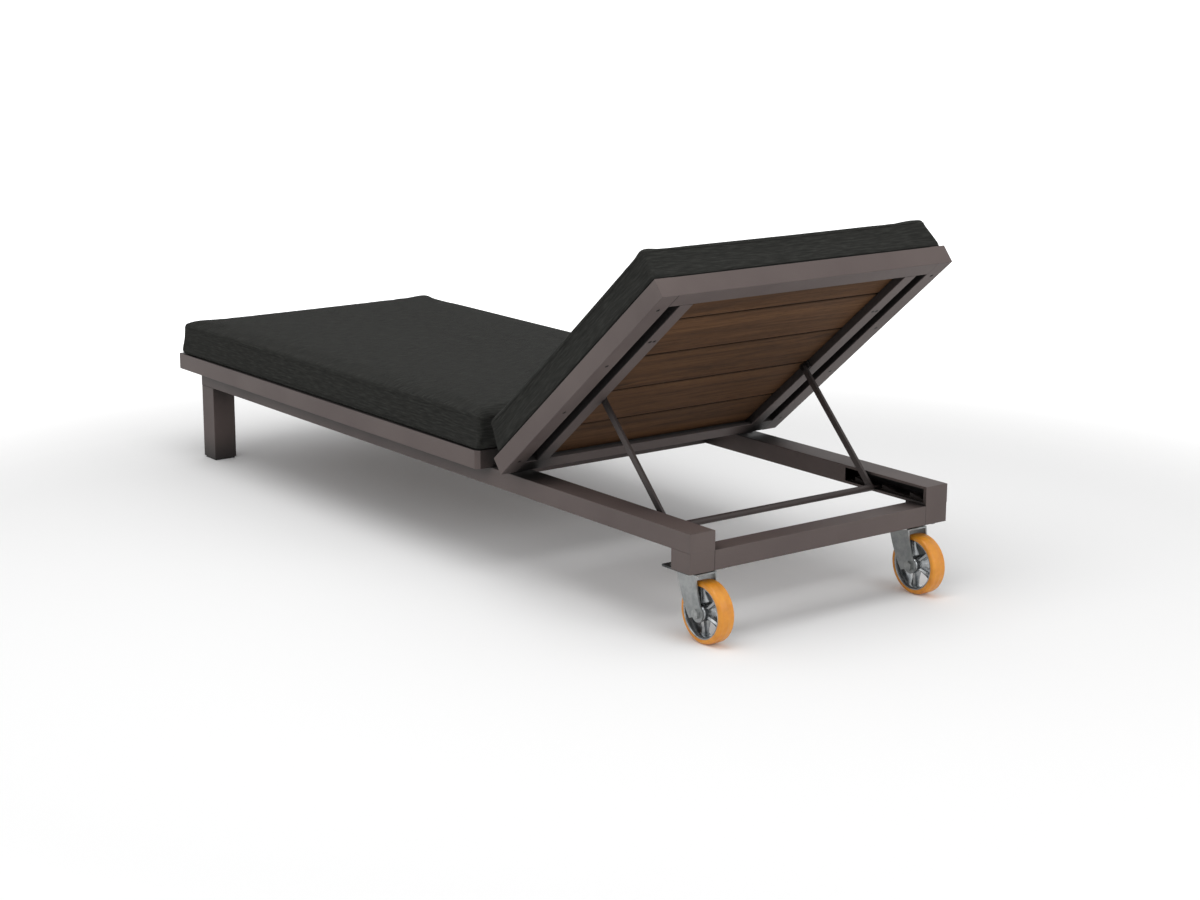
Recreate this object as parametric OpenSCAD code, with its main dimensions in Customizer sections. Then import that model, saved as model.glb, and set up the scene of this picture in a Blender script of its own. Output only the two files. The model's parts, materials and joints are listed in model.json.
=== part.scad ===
// Wheeled relaxation lounger with a raising back, a toothed stay and two swivel casters.
// X runs across the lounger, +Y runs from the foot end to the head end, +Z is up.
// The origin is on the floor, below the middle of the overall length and width.

/* [Chassis] */
// Width over the two side rails
base_w = 680; // [620:1:740]
// Width of a side rail
rail_w = 60; // [56:1:66]
// Height of a side rail
rail_h = 40; // [38:1:50]
// Wall of the square tubes
tube_wall = 3; // [2:0.5:4]
// Outer corner radius of the tubes
edge_r = 1.5; // [0.5:0.5:2.5]
// Height of the block under each rail's rear end
block_h = 40; // [36:1:60]
// Length of that block along the rail
block_l = 60; // [50:1:80]
// Depth of the rear crossbar
rear_bar_d = 50; // [45:1:60]
// Depth of the two hidden crossbars
cross_bar_d = 40; // [30:1:60]
// Width of a foot leg, both ways
leg_w = 60; // [50:1:60]
// Thickness of the glide under a foot leg
glide_t = 4.5; // [2:0.5:8]

/* [Seat frame] */
// Length of the seat frame
seat_l = 1360; // [1200:1:1500]
// Reach of the seat frame and the back frame past each rail
side_overhang = 37; // [30:1:50]
// Reach of the seat frame past the rails at the foot end
foot_overhang = 45; // [20:1:60]
// Height of the seat frame and thickness of the back frame
frame_h = 40; // [38:1:46]
// Width of the outer side members
side_w = 40; // [34:1:44]
// Width of the long open slot between the outer and inner members
slot_w = 28.5; // [20:0.5:32]
// Width of the inner members that hold the slats
inner_w = 32; // [26:1:36]
// Width of the end members
end_w = 42; // [36:1:50]
// Cut at the two rear corners of the seat frame
corner_cut = 9; // [4:1:14]

/* [Timber slats] */
// Thickness of a slat
slat_t = 20; // [16:1:20]
// Height of a slat's underside above the frame's underside
slat_recess = 17; // [15:1:18]
// Joint between two slats
slat_gap = 4.5; // [2:0.5:6]
// Depth of a slat's end in the groove of the inner member
slat_seat = 10; // [6:1:12]
// Slats in the seat
seat_slats_n = 9; // [7:1:12]

/* [Back] */
// Length of the back frame
back_l = 694; // [640:1:740]
// Angle of the raised back above the rails
back_angle = 39.75; // [25:0.25:48]
// Distance of the back's hinge behind the seat frame
hinge_gap = 69; // [66:1:80]
// Height of the hinge above the underside of the lowered back
hinge_up = 31.8; // [30:0.1:33]
// Distance of the hinge from the lower end of the back
hinge_in = 1; // [0.5:0.1:3]
// Gap between the rails and the lowered back
back_lift = 0.5; // [0.3:0.1:1]
// Radius of the hinge eyes
hinge_eye_r = 8; // [7:0.5:8]
// Radius of the hinge pins
hinge_pin_r = 4; // [3:0.5:5]
// Thickness of the standing hinge ear
hinge_ear_t = 8; // [6:0.5:10]
// Thickness of a hinge cheek on the back
hinge_cheek_t = 6; // [4:0.5:8]

/* [Stay] */
// Height of the stay's pivot above the back's underside
stay_rise = 8; // [8:0.5:9]
// Width of a stay bar
stay_w = 14; // [12:1:14]
// Thickness of a stay bar
stay_t = 6; // [4:0.5:6]
// Radius of the rod between the stay bars
rod_r = 7; // [5:0.5:7]
// Radius of the rod's end pins, through the stay bars and into the rails
rod_tip_r = 3; // [2.5:0.5:3.5]
// Height of the rod's middle above the underside of the rails
rod_up = 10; // [9.5:0.25:11]
// Radius of the stay's pivot pins
stay_pin_r = 4; // [3:0.5:5]

/* [Pocket and rack] */
// Wall left between the pocket and the rear face
pocket_end = 8; // [8:0.5:10.5]
// Height of the pocket's lower edge above the rail's underside
pocket_low = 6; // [4:0.5:6]
// Height of the pocket's upper edge below the rail's top
pocket_high = 5.5; // [3:0.5:6]
// Way beside the rack, where the rod's end pins run
rack_way = 12; // [11:1:16]
// Width of the rack
rack_w = 10; // [6:1:14]
// Thickness of the rack below its teeth
rack_t = 3; // [2:0.5:3]
// Height of the rack's saw teeth
tooth_h = 9; // [6:0.5:12]

/* [Casters] */
// Height of a caster's plate above its wheel
caster_over = 23.5; // [19:0.5:35]
// Diameter of the wheel
wheel_d = 125; // [110:1:126]
// Width of the tyre
wheel_w = 36; // [30:1:38]
// Thickness of the tyre on its rim
tyre_t = 10; // [7:0.5:14]
// Distance of the axle behind the swivel
trail = 36.5; // [30:0.5:45]
// Distance of the swivel in front of the rear face
swivel_back = 54; // [50:1:60]
// Distance of the swivel inside the rail's outer face
swivel_side = 58; // [56:1:64]
// Size of the top plate across the lounger
plate_w = 105; // [100:1:110]
// Size of the top plate along the lounger
plate_l = 85; // [82:1:95]
// Thickness of the top plate
plate_t = 4; // [3:0.5:5]
// Hole spacing of the top plate across the lounger
plate_hole_x = 80; // [78:1:84]
// Hole spacing of the top plate along the lounger
plate_hole_y = 60; // [56:1:64]
// Radius of the ball race housing
race_r = 35; // [30:1:36]
// Thickness of the fork's sheet steel
fork_t = 3.5; // [3:0.5:5]
// Radius of the axle
axle_r = 6; // [5:0.5:7]
// Spokes in a wheel
spokes_n = 5; // [3:1:8]

/* [Cushions] */
// Thickness of the seat cushion at its edges
seat_pad_t = 79; // [50:1:100]
// Thickness of the back cushion at its edges
back_pad_t = 75; // [50:1:76]
// Rise of a cushion's crown above its edges
pad_crown = 7; // [2:1:12]
// Rounding of a cushion's upper and lower edges
pad_edge_r = 8; // [6:1:14]
// Rounding of a cushion's corners seen from above
pad_corner_r = 12; // [10:1:40]
// Lean of a cushion's long sides towards the top
pad_lean = 2; // [1:1:12]
// Lean of a cushion's ends towards the top
pad_end_lean = 1; // [1:1:12]
// Depth by which the middle of each side is drawn in
pad_draw = 3; // [1:1:8]
// Distance of the back cushion from the lower end of the back frame
back_pad_in = 12; // [10:1:20]
// Reach of the seat cushion past the rear end of the seat frame
seat_pad_over = 6; // [0:1:8]

/* [Hidden] */
$fn = 48;
// Overrun of every cut
cut = 1;
// Clearance round a pin in its bore
pin_clear = 0.05;
// Clearance of parts that pass each other
pass_clear = 0.6;
// Gap under a soft or loose piece
soft_clear = 0.3;
// Gap round a screw's shank
screw_clear = 0.2;
// Drain holes under the closed tubes
drain_r = 3;
drain_in = 25;
// Screws
screw_r = 2.5;
screw_head_r = 4.3;
screw_head_h = 2.4;
screw_l = 12;
socket_r = 1.5;
socket_d = 1.2;
bolt_r = 4;
bolt_head_r = 7.2;
bolt_head_h = 4;
bolt_l = 24;
// Hinge bracket foot
bracket_l = 46;
bracket_w = 36;
bracket_t = 4;
bracket_slope = 22;
hinge_screw_in = 12;
hinge_screw_span = 20;
// Fork and hub details
fork_gap = 5;
fork_eye_r = 17;
fork_steps = 10;
// Fork leg edges: corner, bend and end, in shares of the trail along Y and of the axle's drop
fork_front_shares = [[-0.71, 1], [-0.42, 0.33], [0.34, -0.19]];
fork_rear_shares = [[1.45, 0.02], [0.98, 0.35], [0.82, 1]];
race_h = 7;
race_gap = 0.3;
kingpin_r = 8;
kingpin_head_r = 13;
kingpin_head_h = 4;
rim_t = 3;
hub_r = 17;
hub_gap = 1;
spoke_turn = 135;
web_t = 14;
spoke_root_w = 9;
spoke_tip_w = 17;
bearing_r = 13;
bore_step = 4;
bearing_w = 12;
tyre_edge_r = 7;
nut_r = 10;
nut_h = 7;
axle_head_h = 6;
washer_gap = 0.5;
// Stay details
stay_out = 0.3;
boss_t = 3;
boss_half_l = 15;
boss_low = 1;
pin_head_h = 2.5;
pin_head_r = 6.5;
pin_bite = 9;
slat_fit = 0.3;
// Rebate along the lower member of the back
rebate_w = 14;
rebate_z = 7;
rod_reach = 14;
tooth_back = 1.5;
// Cushion mesh and its places
pad_frame_in = 1;
pad_side_n = 10;
pad_corner_n = 4;
pad_edge_n = 4;
pad_top_shares = [0.94, 0.84, 0.68, 0.46, 0.2];
// Joints between the slats of the back, as shares of its length from its lower end
joint_shares = [0.2147, 0.4135, 0.6124, 0.8112];
// Stay's pivot, stay's length, pocket's length and hinge to rear face, as shares of the back's length
pivot_share = 0.402;
stay_share = 0.4467;
pocket_share = 0.3386;
bay_share = 0.863;
// Spacing of the rack's teeth as a share of the pocket's length, and a tooth's slope as a share of that
tooth_share = 0.351;
tooth_slope_share = 0.52;
// Screws seen under the back, as shares of its length from its lower end
side_screw_shares = [0.0735, 0.369, 0.631, 0.928];
inner_screw_share = 0.745;
inner_screw_step = 11;
inner_screw_at = 11.5;

// Sizes that follow the seat and the back
hinge_back = round(bay_share * back_l);
base_l = seat_l - foot_overhang + hinge_gap + hinge_back;
frame_w = base_w + 2 * side_overhang;
stay_along = round(pivot_share * back_l);
stay_l = round(stay_share * back_l);
pocket_l = pocket_share * back_l;
slats_n = len(joint_shares) + 1;
rebate_y = end_w - rebate_w;
// Heights
caster_h = wheel_d + caster_over;
rail_z = caster_h + block_h;
rail_top = rail_z + rail_h;
seat_top = rail_top + frame_h;
wheel_r = wheel_d / 2;
// Lengths along Y
tail = trail - swivel_back + wheel_r;
rear_y = (base_l + foot_overhang - tail) / 2;
rail_foot_y = rear_y - base_l;
seat_foot_y = rail_foot_y - foot_overhang;
seat_rear_y = seat_foot_y + seat_l;
hinge_y = rear_y - hinge_back;
hinge_z = rail_top + back_lift + hinge_up;
// Widths across X
rail_out = base_w / 2;
rail_in = rail_out - rail_w;
frame_out = frame_w / 2;
slot_out = frame_out - side_w;
inner_out = slot_out - slot_w;
inner_in = inner_out - inner_w;
hinge_x = rail_out - rail_w / 2;
// Stay geometry
stay_pivot_y = hinge_y + (stay_along - hinge_in) * cos(back_angle) - (stay_rise - hinge_up) * sin(back_angle);
stay_pivot_z = hinge_z + (stay_along - hinge_in) * sin(back_angle) + (stay_rise - hinge_up) * cos(back_angle);
rod_z = rail_z + rod_up;
stay_angle = asin((stay_pivot_z - rod_z) / stay_l);
stay_in = inner_in - boss_t - stay_out - stay_t;
rod_y = stay_pivot_y + stay_l * cos(stay_angle);
// Pocket
pocket_rear_y = rear_y - pocket_end;
pocket_front_y = pocket_rear_y - pocket_l;
pocket_z0 = rail_z + pocket_low;
pocket_z1 = rail_top - pocket_high;
rack_top = rail_z + tube_wall + rack_t;
tooth_pitch = tooth_share * pocket_l;
// Casters
swivel_x = rail_out - swivel_side;
swivel_y = rear_y - swivel_back;
axle_y = swivel_y + trail;
plate_z = caster_h - plate_t;
race_z = plate_z - race_h;
crown_z = race_z - race_gap - fork_t;
fork_in = wheel_w / 2 + fork_gap;
fork_out = fork_in + fork_t;
rim_r = wheel_r - tyre_t;

// Profile with true round corners, centred
module rounded(w, h, r) {
  square([w, h - 2 * r], center = true);
  square([w - 2 * r, h], center = true);
  for (sx = [-1, 1])
    for (sy = [-1, 1])
      translate([sx * (w / 2 - r), sy * (h / 2 - r)]) circle(r = r);
}

// Solid bars with rounded long edges between two corners
module bar_y(lo, hi, r = edge_r) {
  translate([(lo.x + hi.x) / 2, hi.y, (lo.z + hi.z) / 2])
    rotate([90, 0, 0])
      linear_extrude(hi.y - lo.y) rounded(hi.x - lo.x, hi.z - lo.z, r);
}

module bar_x(lo, hi, r = edge_r) {
  translate([lo.x, (lo.y + hi.y) / 2, (lo.z + hi.z) / 2])
    rotate([90, 0, 90])
      linear_extrude(hi.x - lo.x) rounded(hi.y - lo.y, hi.z - lo.z, r);
}

module bar_z(lo, hi, r = edge_r) {
  translate([(lo.x + hi.x) / 2, (lo.y + hi.y) / 2, lo.z])
    linear_extrude(hi.z - lo.z) rounded(hi.x - lo.x, hi.y - lo.y, r);
}

// Plain block between two corners
module block(lo, hi) {
  translate(lo) cube(hi - lo);
}

// Hollow of a closed tube, one wall inside its corners
module hollow(lo, hi) {
  wall = [tube_wall, tube_wall, tube_wall];
  block(lo + wall, hi - wall);
}

// Drain holes in the lower or upper wall of a tube along Y or X
module drains_y(lo, hi, over = false) {
  z = over ? hi.z - tube_wall : lo.z;
  for (y = [lo.y + drain_in, hi.y - drain_in])
    translate([(lo.x + hi.x) / 2, y, z - cut]) cylinder(r = drain_r, h = tube_wall + 2 * cut);
}

module drains_x(lo, hi, over = false) {
  z = over ? hi.z - tube_wall : lo.z;
  for (x = [lo.x + drain_in, hi.x - drain_in])
    translate([x, (lo.y + hi.y) / 2, z - cut]) cylinder(r = drain_r, h = tube_wall + 2 * cut);
}

module tube_y(lo, hi, over = false) {
  difference() {
    bar_y(lo, hi);
    hollow(lo, hi);
    drains_y(lo, hi, over);
  }
}

module tube_x(lo, hi, over = false) {
  difference() {
    bar_x(lo, hi);
    hollow(lo, hi);
    drains_x(lo, hi, over);
  }
}

// The left piece, or its mirror image for the right side
module side(s) {
  mirror([s < 0 ? 1 : 0, 0, 0]) children();
}

// Frames of the moving bodies: X across, Y along the piece, Z out of its upper face
module on_back() {
  translate([0, hinge_y, hinge_z])
    rotate([back_angle, 0, 0])
      translate([0, -hinge_in, -hinge_up]) children();
}

module on_stay() {
  translate([0, stay_pivot_y, stay_pivot_z])
    rotate([-stay_angle, 0, 0]) children();
}

module cross_pin(r, x0, x1) {
  translate([x0, 0, 0]) rotate([0, 90, 0]) cylinder(r = r, h = x1 - x0);
}

// Side rail of two lengths, butted at the seat's rear end. The head length has the rod's pocket
// and holes for the hinge screws.
module rail() {
  joint_y = seat_rear_y;
  color("#5d514d") {
    tube_y([rail_in, rail_foot_y, rail_z], [rail_out, joint_y - pin_clear, rail_top]);
    difference() {
      tube_y([rail_in, joint_y, rail_z], [rail_out, rear_y, rail_top]);
      block([rail_in - cut, pocket_front_y, pocket_z0], [rail_in + tube_wall + cut, pocket_rear_y, pocket_z1]);
      hinge_screw_places() cylinder(r = screw_r + screw_clear, h = 2 * tube_wall + 2 * cut, center = true);
    }
  }
}

// Block under a rail's end, with the weld along the rail's rounded outer edge ground flush
module rear_block() {
  lo = [rail_in, rear_y - block_l, caster_h];
  hi = [rail_out, rear_y, rail_z];
  color("#5d514d") {
    difference() {
      bar_z(lo, hi);
      hollow(lo, hi);
      plate_holes([1], [1]) cylinder(r = bolt_r + screw_clear, h = bolt_l);
    }
    translate([rail_out - edge_r, rear_y - edge_r, rail_z])
      rotate([90, 0, 0])
        linear_extrude(block_l - 2 * edge_r)
          difference() {
            square(edge_r);
            translate([0, edge_r]) circle(r = edge_r);
          }
  }
}

module rear_crossbar() {
  lo = [-rail_in, rear_y - rear_bar_d, caster_h];
  hi = [rail_in, rear_y, rail_z];
  color("#5d514d")
    difference() {
      bar_x(lo, hi);
      hollow(lo, hi);
      for (s = [-1, 1])
        side(s) plate_holes([-1], [1]) cylinder(r = bolt_r + screw_clear, h = bolt_l);
    }
}

module mid_crossbar() {
  y1 = seat_rear_y - end_w;
  color("#5d514d") tube_x([-rail_in, y1 - cross_bar_d, rail_z], [rail_in, y1, rail_top]);
}

module foot_crossbar() {
  color("#5d514d") tube_x([-rail_in, rail_foot_y, rail_z], [rail_in, rail_foot_y + cross_bar_d, rail_top]);
}

module leg() {
  lo = [rail_out - leg_w, rail_foot_y, glide_t];
  hi = [rail_out, rail_foot_y + leg_w, rail_z];
  color("#5d514d")
    difference() {
      bar_z(lo, hi);
      hollow(lo, hi);
      leg_drain(lo, hi);
    }
}

// Drain at the foot of a leg, through its glide
module leg_drain(lo, hi) {
  translate([(lo.x + hi.x) / 2, (lo.y + hi.y) / 2, -cut]) cylinder(r = drain_r, h = lo.z + tube_wall + 2 * cut);
}

module foot_glides() {
  lo = [rail_out - leg_w + tube_wall, rail_foot_y + tube_wall, 0];
  hi = [rail_out - tube_wall, rail_foot_y + leg_w - tube_wall, glide_t];
  color("#1c1b1b")
    for (s = [-1, 1])
      side(s)
        difference() {
          bar_z(lo, hi);
          leg_drain(lo, hi);
        }
}

// Seat frame
module seat_side() {
  lo = [slot_out, seat_foot_y, rail_top];
  hi = [frame_out, seat_rear_y, seat_top];
  color("#6b5e5a")
    difference() {
      tube_y(lo, hi);
      translate([frame_out, seat_rear_y, rail_top - cut])
        linear_extrude(frame_h + 2 * cut)
          polygon([[-corner_cut, 0], [-corner_cut, cut], [cut, cut], [cut, -corner_cut], [0, -corner_cut]]);
    }
  // Closing piece behind the cut corner
  color("#6b5e5a")
    translate([frame_out, seat_rear_y, rail_top + tube_wall])
      linear_extrude(frame_h - 2 * tube_wall)
        polygon([[-corner_cut, 0], [0, -corner_cut], [-tube_wall, -corner_cut - tube_wall],
          [-corner_cut - tube_wall, -tube_wall]]);
}

// Grooved inner member between two end members
module inner_member(lo, hi, over = false) {
  groove_lo = [lo.x - cut, lo.y - cut, lo.z + slat_recess - slat_fit];
  groove_hi = [lo.x + slat_seat + slat_fit, hi.y + cut, lo.z + slat_recess + slat_t + slat_fit];
  difference() {
    bar_y(lo, hi);
    block([groove_hi.x + tube_wall, lo.y + tube_wall, lo.z + tube_wall],
      [hi.x - tube_wall, hi.y - tube_wall, hi.z - tube_wall]);
    block(groove_lo, groove_hi);
    drains_y([groove_hi.x + tube_wall, lo.y, lo.z], [hi.x - tube_wall, hi.y, hi.z], over);
  }
}

module seat_inner() {
  color("#6b5e5a")
    inner_member([inner_in, seat_foot_y + end_w, rail_top], [inner_out, seat_rear_y - end_w, seat_top]);
}

module seat_foot_member() {
  color("#6b5e5a") tube_x([-slot_out, seat_foot_y, rail_top], [slot_out, seat_foot_y + end_w, seat_top]);
}

module seat_rear_member() {
  color("#6b5e5a") tube_x([-slot_out, seat_rear_y - end_w, rail_top], [slot_out, seat_rear_y, seat_top]);
}

// One slat from edge to edge along Y, above an underside height
module slat(y0, y1, z) {
  x = inner_in + slat_seat;
  color("#4f3a29") bar_x([-x, y0, z], [x, y1, z + slat_t]);
}

module seat_slats() {
  start = seat_foot_y + end_w + slat_fit;
  pitch = (seat_l - 2 * end_w - 2 * slat_fit + slat_gap) / seat_slats_n;
  for (i = [0:seat_slats_n - 1])
    slat(start + i * pitch, start + (i + 1) * pitch - slat_gap, rail_top + slat_recess);
}

// Rack of three saw teeth on the floor of the rail, behind the way of the rod's end pins
module rack() {
  y0 = pocket_front_y + cut;
  y1 = pocket_rear_y - cut;
  color("#2b2826")
    translate([rail_in + tube_wall + soft_clear + rack_way, 0, 0])
      rotate([90, 0, 90])
        linear_extrude(rack_w) {
          translate([y0, rail_z + tube_wall]) square([y1 - y0, rack_t]);
          for (i = [-1:1])
            translate([rod_y + rod_r + tooth_back + i * tooth_pitch, rack_top])
              polygon([[0, 0], [tooth_slope_share * tooth_pitch, 0], [0, tooth_h]]);
        }
}

// Standing hinge ear on the rail
module hinge_screw_places() {
  y = hinge_y - hinge_eye_r - hinge_screw_in;
  for (x = [-hinge_screw_span / 2, hinge_screw_span / 2])
    translate([hinge_x + x, y - hinge_screw_in / 2, rail_top]) children();
}

module hinge_bracket() {
  rear = hinge_y - hinge_in - 2 * pass_clear;
  front = rear - bracket_l;
  ear = [[rear, rail_top], [rear - bracket_slope, rail_top + bracket_t],
    [hinge_y - hinge_eye_r, hinge_z], [hinge_y, hinge_z], [rear, hinge_z - hinge_eye_r]];
  color("#5d514d")
    difference() {
      union() {
        block([hinge_x - bracket_w / 2, front, rail_top], [hinge_x + bracket_w / 2, rear, rail_top + bracket_t]);
        translate([hinge_x - hinge_ear_t / 2, 0, 0])
          rotate([90, 0, 90])
            linear_extrude(hinge_ear_t) {
              polygon(ear);
              translate([hinge_y, hinge_z]) circle(r = hinge_eye_r);
            }
      }
      translate([0, hinge_y, hinge_z])
        cross_pin(hinge_pin_r + pin_clear, hinge_x - hinge_ear_t, hinge_x + hinge_ear_t);
      hinge_screw_places() cylinder(r = screw_r + screw_clear, h = bracket_t + cut);
    }
}

module hinge_screws() {
  color("#8d8f8e")
    for (s = [-1, 1])
      side(s) hinge_screw_places() {
        translate([0, 0, bracket_t]) button_head();
        translate([0, 0, -2 * tube_wall]) cylinder(r = screw_r, h = 2 * tube_wall + bracket_t);
      }
}

// Low round screw head with a hexagon socket
module button_head() {
  difference() {
    cylinder(r1 = screw_head_r, r2 = screw_head_r - screw_head_h / 2, h = screw_head_h);
    translate([0, 0, screw_head_h - socket_d]) cylinder(r = socket_r, h = socket_d + cut, $fn = 6);
  }
}

// Back frame, drawn in the lowered back's own frame
module back_side() {
  places = [for (share = side_screw_shares) [(slot_out + frame_out) / 2, share * back_l]];
  color("#6b5e5a")
    on_back()
      difference() {
        tube_y([slot_out, 0, 0], [frame_out, back_l, frame_h], true);
        for (p = places)
          translate([p.x, p.y, 0]) sunk_hole();
      }
}

module back_inner() {
  color("#6b5e5a")
    on_back()
      difference() {
        inner_member([inner_in, end_w, 0], [inner_out, back_l - end_w, frame_h], true);
        for (p = inner_screw_places)
          translate([p.x, p.y, 0]) sunk_hole();
        translate([0, stay_along, stay_rise]) cross_pin(stay_pin_r, inner_in - cut, inner_in + pin_bite + cut);
      }
}
inner_screw_places = [for (x = [inner_screw_at, inner_screw_at + inner_screw_step])
  [inner_in + x, inner_screw_share * back_l]];

module back_top_member() {
  color("#6b5e5a")
    on_back() tube_x([-slot_out, back_l - end_w, 0], [slot_out, back_l, frame_h], true);
}

// Lower member with a notch for each hinge, and a grooved rebate over which the first slat reaches
module back_bottom_member() {
  half = hinge_ear_t / 2 + pass_clear + hinge_cheek_t;
  low = hinge_up - hinge_eye_r - pass_clear;
  deep = hinge_in + hinge_eye_r + pass_clear;
  tube_end = [slot_out, rebate_y, frame_h];
  groove_x = inner_in + slat_seat + slat_fit;
  groove_z = [slat_recess - slat_fit, slat_recess + slat_t + slat_fit];
  color("#6b5e5a")
    on_back()
      difference() {
        bar_x([-slot_out, 0, 0], [slot_out, end_w, frame_h]);
        hollow([-slot_out, 0, 0], tube_end);
        drains_x([-slot_out, 0, 0], tube_end, true);
        block([-inner_in, rebate_y, rebate_z], [inner_in, end_w + cut, frame_h + cut]);
        block([-groove_x, rebate_y, groove_z.x], [groove_x, end_w + cut, groove_z.y]);
        for (s = [-1, 1])
          side(s) block([hinge_x - half, -cut, low], [hinge_x + half, deep, frame_h + cut]);
      }
}

// Two cheeks in each notch carry the hinge pin
module hinge_cheeks() {
  half = hinge_ear_t / 2 + pass_clear;
  deep = hinge_in + hinge_eye_r + pass_clear;
  low = hinge_up - hinge_eye_r - pass_clear;
  color("#6b5e5a")
    on_back()
      for (s = [-1, 1])
        side(s)
          for (x = [hinge_x - half - hinge_cheek_t, hinge_x + half])
            translate([x, 0, 0])
              difference() {
                rotate([90, 0, 90])
                  linear_extrude(hinge_cheek_t) {
                    translate([hinge_in, hinge_up]) circle(r = hinge_eye_r);
                    translate([hinge_in, low]) square([deep - hinge_in, frame_h - low]);
                  }
                translate([-cut, hinge_in, hinge_up]) cross_pin(hinge_pin_r, 0, hinge_cheek_t + 2 * cut);
              }
}

module hinge_pins() {
  half = hinge_ear_t / 2 + pass_clear + hinge_cheek_t;
  color("#8d8f8e")
    for (s = [-1, 1])
      side(s) translate([0, hinge_y, hinge_z]) cross_pin(hinge_pin_r, hinge_x - half, hinge_x + half);
}

module back_slat(i) {
  y0 = i == 0 ? rebate_y + slat_fit : joint_shares[i - 1] * back_l + slat_gap / 2;
  y1 = i == slats_n - 1 ? back_l - end_w - slat_fit : joint_shares[i] * back_l - slat_gap / 2;
  on_back() slat(y0, y1, slat_recess);
}

// Sunk screw in the underside of the back, and the hole that it sits in
module sunk_hole() {
  translate([0, 0, -cut]) cylinder(r = screw_r + screw_clear, h = screw_l + cut);
  cylinder(r1 = screw_head_r, r2 = screw_r, h = screw_head_h);
}

module sunk_screw() {
  difference() {
    union() {
      cylinder(r1 = screw_head_r - pin_clear, r2 = screw_r - pin_clear, h = screw_head_h);
      cylinder(r = screw_r, h = screw_l);
    }
    translate([0, 0, -cut]) cylinder(r = socket_r, h = socket_d + cut, $fn = 6);
  }
}

module back_screws() {
  x = (slot_out + frame_out) / 2;
  color("#3a3634")
    on_back()
      for (s = [-1, 1])
        side(s) {
          for (share = side_screw_shares)
            translate([x, share * back_l, 0]) sunk_screw();
          for (p = inner_screw_places)
            translate([p.x, p.y, 0]) sunk_screw();
        }
}

// Welded bosses that space the stays off the inner members
module stay_bosses() {
  y = stay_along;
  color("#6b5e5a")
    on_back()
      for (s = [-1, 1])
        side(s)
          difference() {
            block([inner_in - boss_t, y - boss_half_l, boss_low], [inner_in, y + boss_half_l, slat_recess - slat_fit]);
            translate([0, y, stay_rise]) cross_pin(stay_pin_r, inner_in - boss_t - cut, inner_in + cut);
          }
}

module stay_pins() {
  x0 = stay_in - stay_out;
  color("#8d8f8e")
    for (s = [-1, 1])
      side(s)
        translate([0, stay_pivot_y, stay_pivot_z]) {
          cross_pin(stay_pin_r, x0, inner_in + pin_bite);
          cross_pin(pin_head_r, x0 - pin_head_h, x0);
        }
}

// Stay bar with a round eye at the pivot and a round end at the rod
module stay_bar() {
  color("#4a3f3d")
    on_stay()
      difference() {
        union() {
          block([stay_in, 0, -stay_w / 2], [stay_in + stay_t, stay_l, stay_w / 2]);
          cross_pin(stay_w / 2, stay_in, stay_in + stay_t);
          translate([0, stay_l, 0]) cross_pin(stay_w / 2, stay_in, stay_in + stay_t);
        }
        cross_pin(stay_pin_r + pin_clear, stay_in - cut, stay_in + stay_t + cut);
        translate([0, stay_l, 0]) cross_pin(rod_tip_r, stay_in - cut, stay_in + stay_t + cut);
      }
}

// Round bar between the stay bars, with a separate end pin at each side
module stay_rod() {
  color("#4a3f3d")
    translate([0, rod_y, rod_z]) {
      cross_pin(rod_r, -stay_in, stay_in);
      for (s = [-1, 1])
        side(s) cross_pin(rod_tip_r, stay_in + pin_clear, rail_in + rod_reach);
    }
}

// Places of the caster's four plate holes, given as signs along X and Y
module plate_holes(xs, ys) {
  for (i = xs)
    for (j = ys)
      translate([swivel_x + i * plate_hole_x / 2, swivel_y + j * plate_hole_y / 2, plate_z]) children();
}

// Top plate with the upper ball race and the kingpin that is riveted into it
module caster_plate() {
  color("#4b4c4c")
    difference() {
      union() {
        bar_z([swivel_x - plate_w / 2, swivel_y - plate_l / 2, plate_z],
          [swivel_x + plate_w / 2, swivel_y + plate_l / 2, caster_h], 2 * edge_r);
        translate([swivel_x, swivel_y, race_z]) cylinder(r1 = race_r - race_h / 2, r2 = race_r, h = race_h);
        translate([swivel_x, swivel_y, crown_z - race_gap]) cylinder(r = kingpin_r, h = race_z - crown_z + race_gap);
        translate([swivel_x, swivel_y, crown_z - race_gap - kingpin_head_h])
          cylinder(r = kingpin_head_r, h = kingpin_head_h);
      }
      plate_holes([-1, 1], [-1, 1])
        translate([0, 0, -cut]) cylinder(r = bolt_r + screw_clear, h = plate_t + 2 * cut);
    }
}

module caster_bolts() {
  color("#8d8f8e")
    for (s = [-1, 1])
      side(s) plate_holes([-1, 1], [1]) {
        translate([0, 0, -bolt_head_h]) cylinder(r = bolt_head_r, h = bolt_head_h, $fn = 6);
        cylinder(r = bolt_r, h = bolt_l);
      }
}

// Frame of a caster's swivelling part: Y trails, Z from the floor
module on_caster() {
  translate([swivel_x, swivel_y, 0]) children();
}

// Points along a bend between two corners
function bend(p, n) = [for (i = [0:n])
  let (u = i / n) (1 - u) * (1 - u) * p[0] + 2 * u * (1 - u) * p[1] + u * u * p[2]];

// Fork leg outline in the plane of the wheel
module fork_leg_outline() {
  drop = crown_z + fork_t - wheel_r;
  size = [trail, drop];
  front = [for (p = fork_front_shares) [p.x * size.x, wheel_r + p.y * size.y]];
  rear = [for (p = fork_rear_shares) [p.x * size.x, wheel_r + p.y * size.y]];
  polygon(concat(bend(front, fork_steps), bend(rear, fork_steps)));
  translate([trail, wheel_r]) circle(r = fork_eye_r);
}

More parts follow.
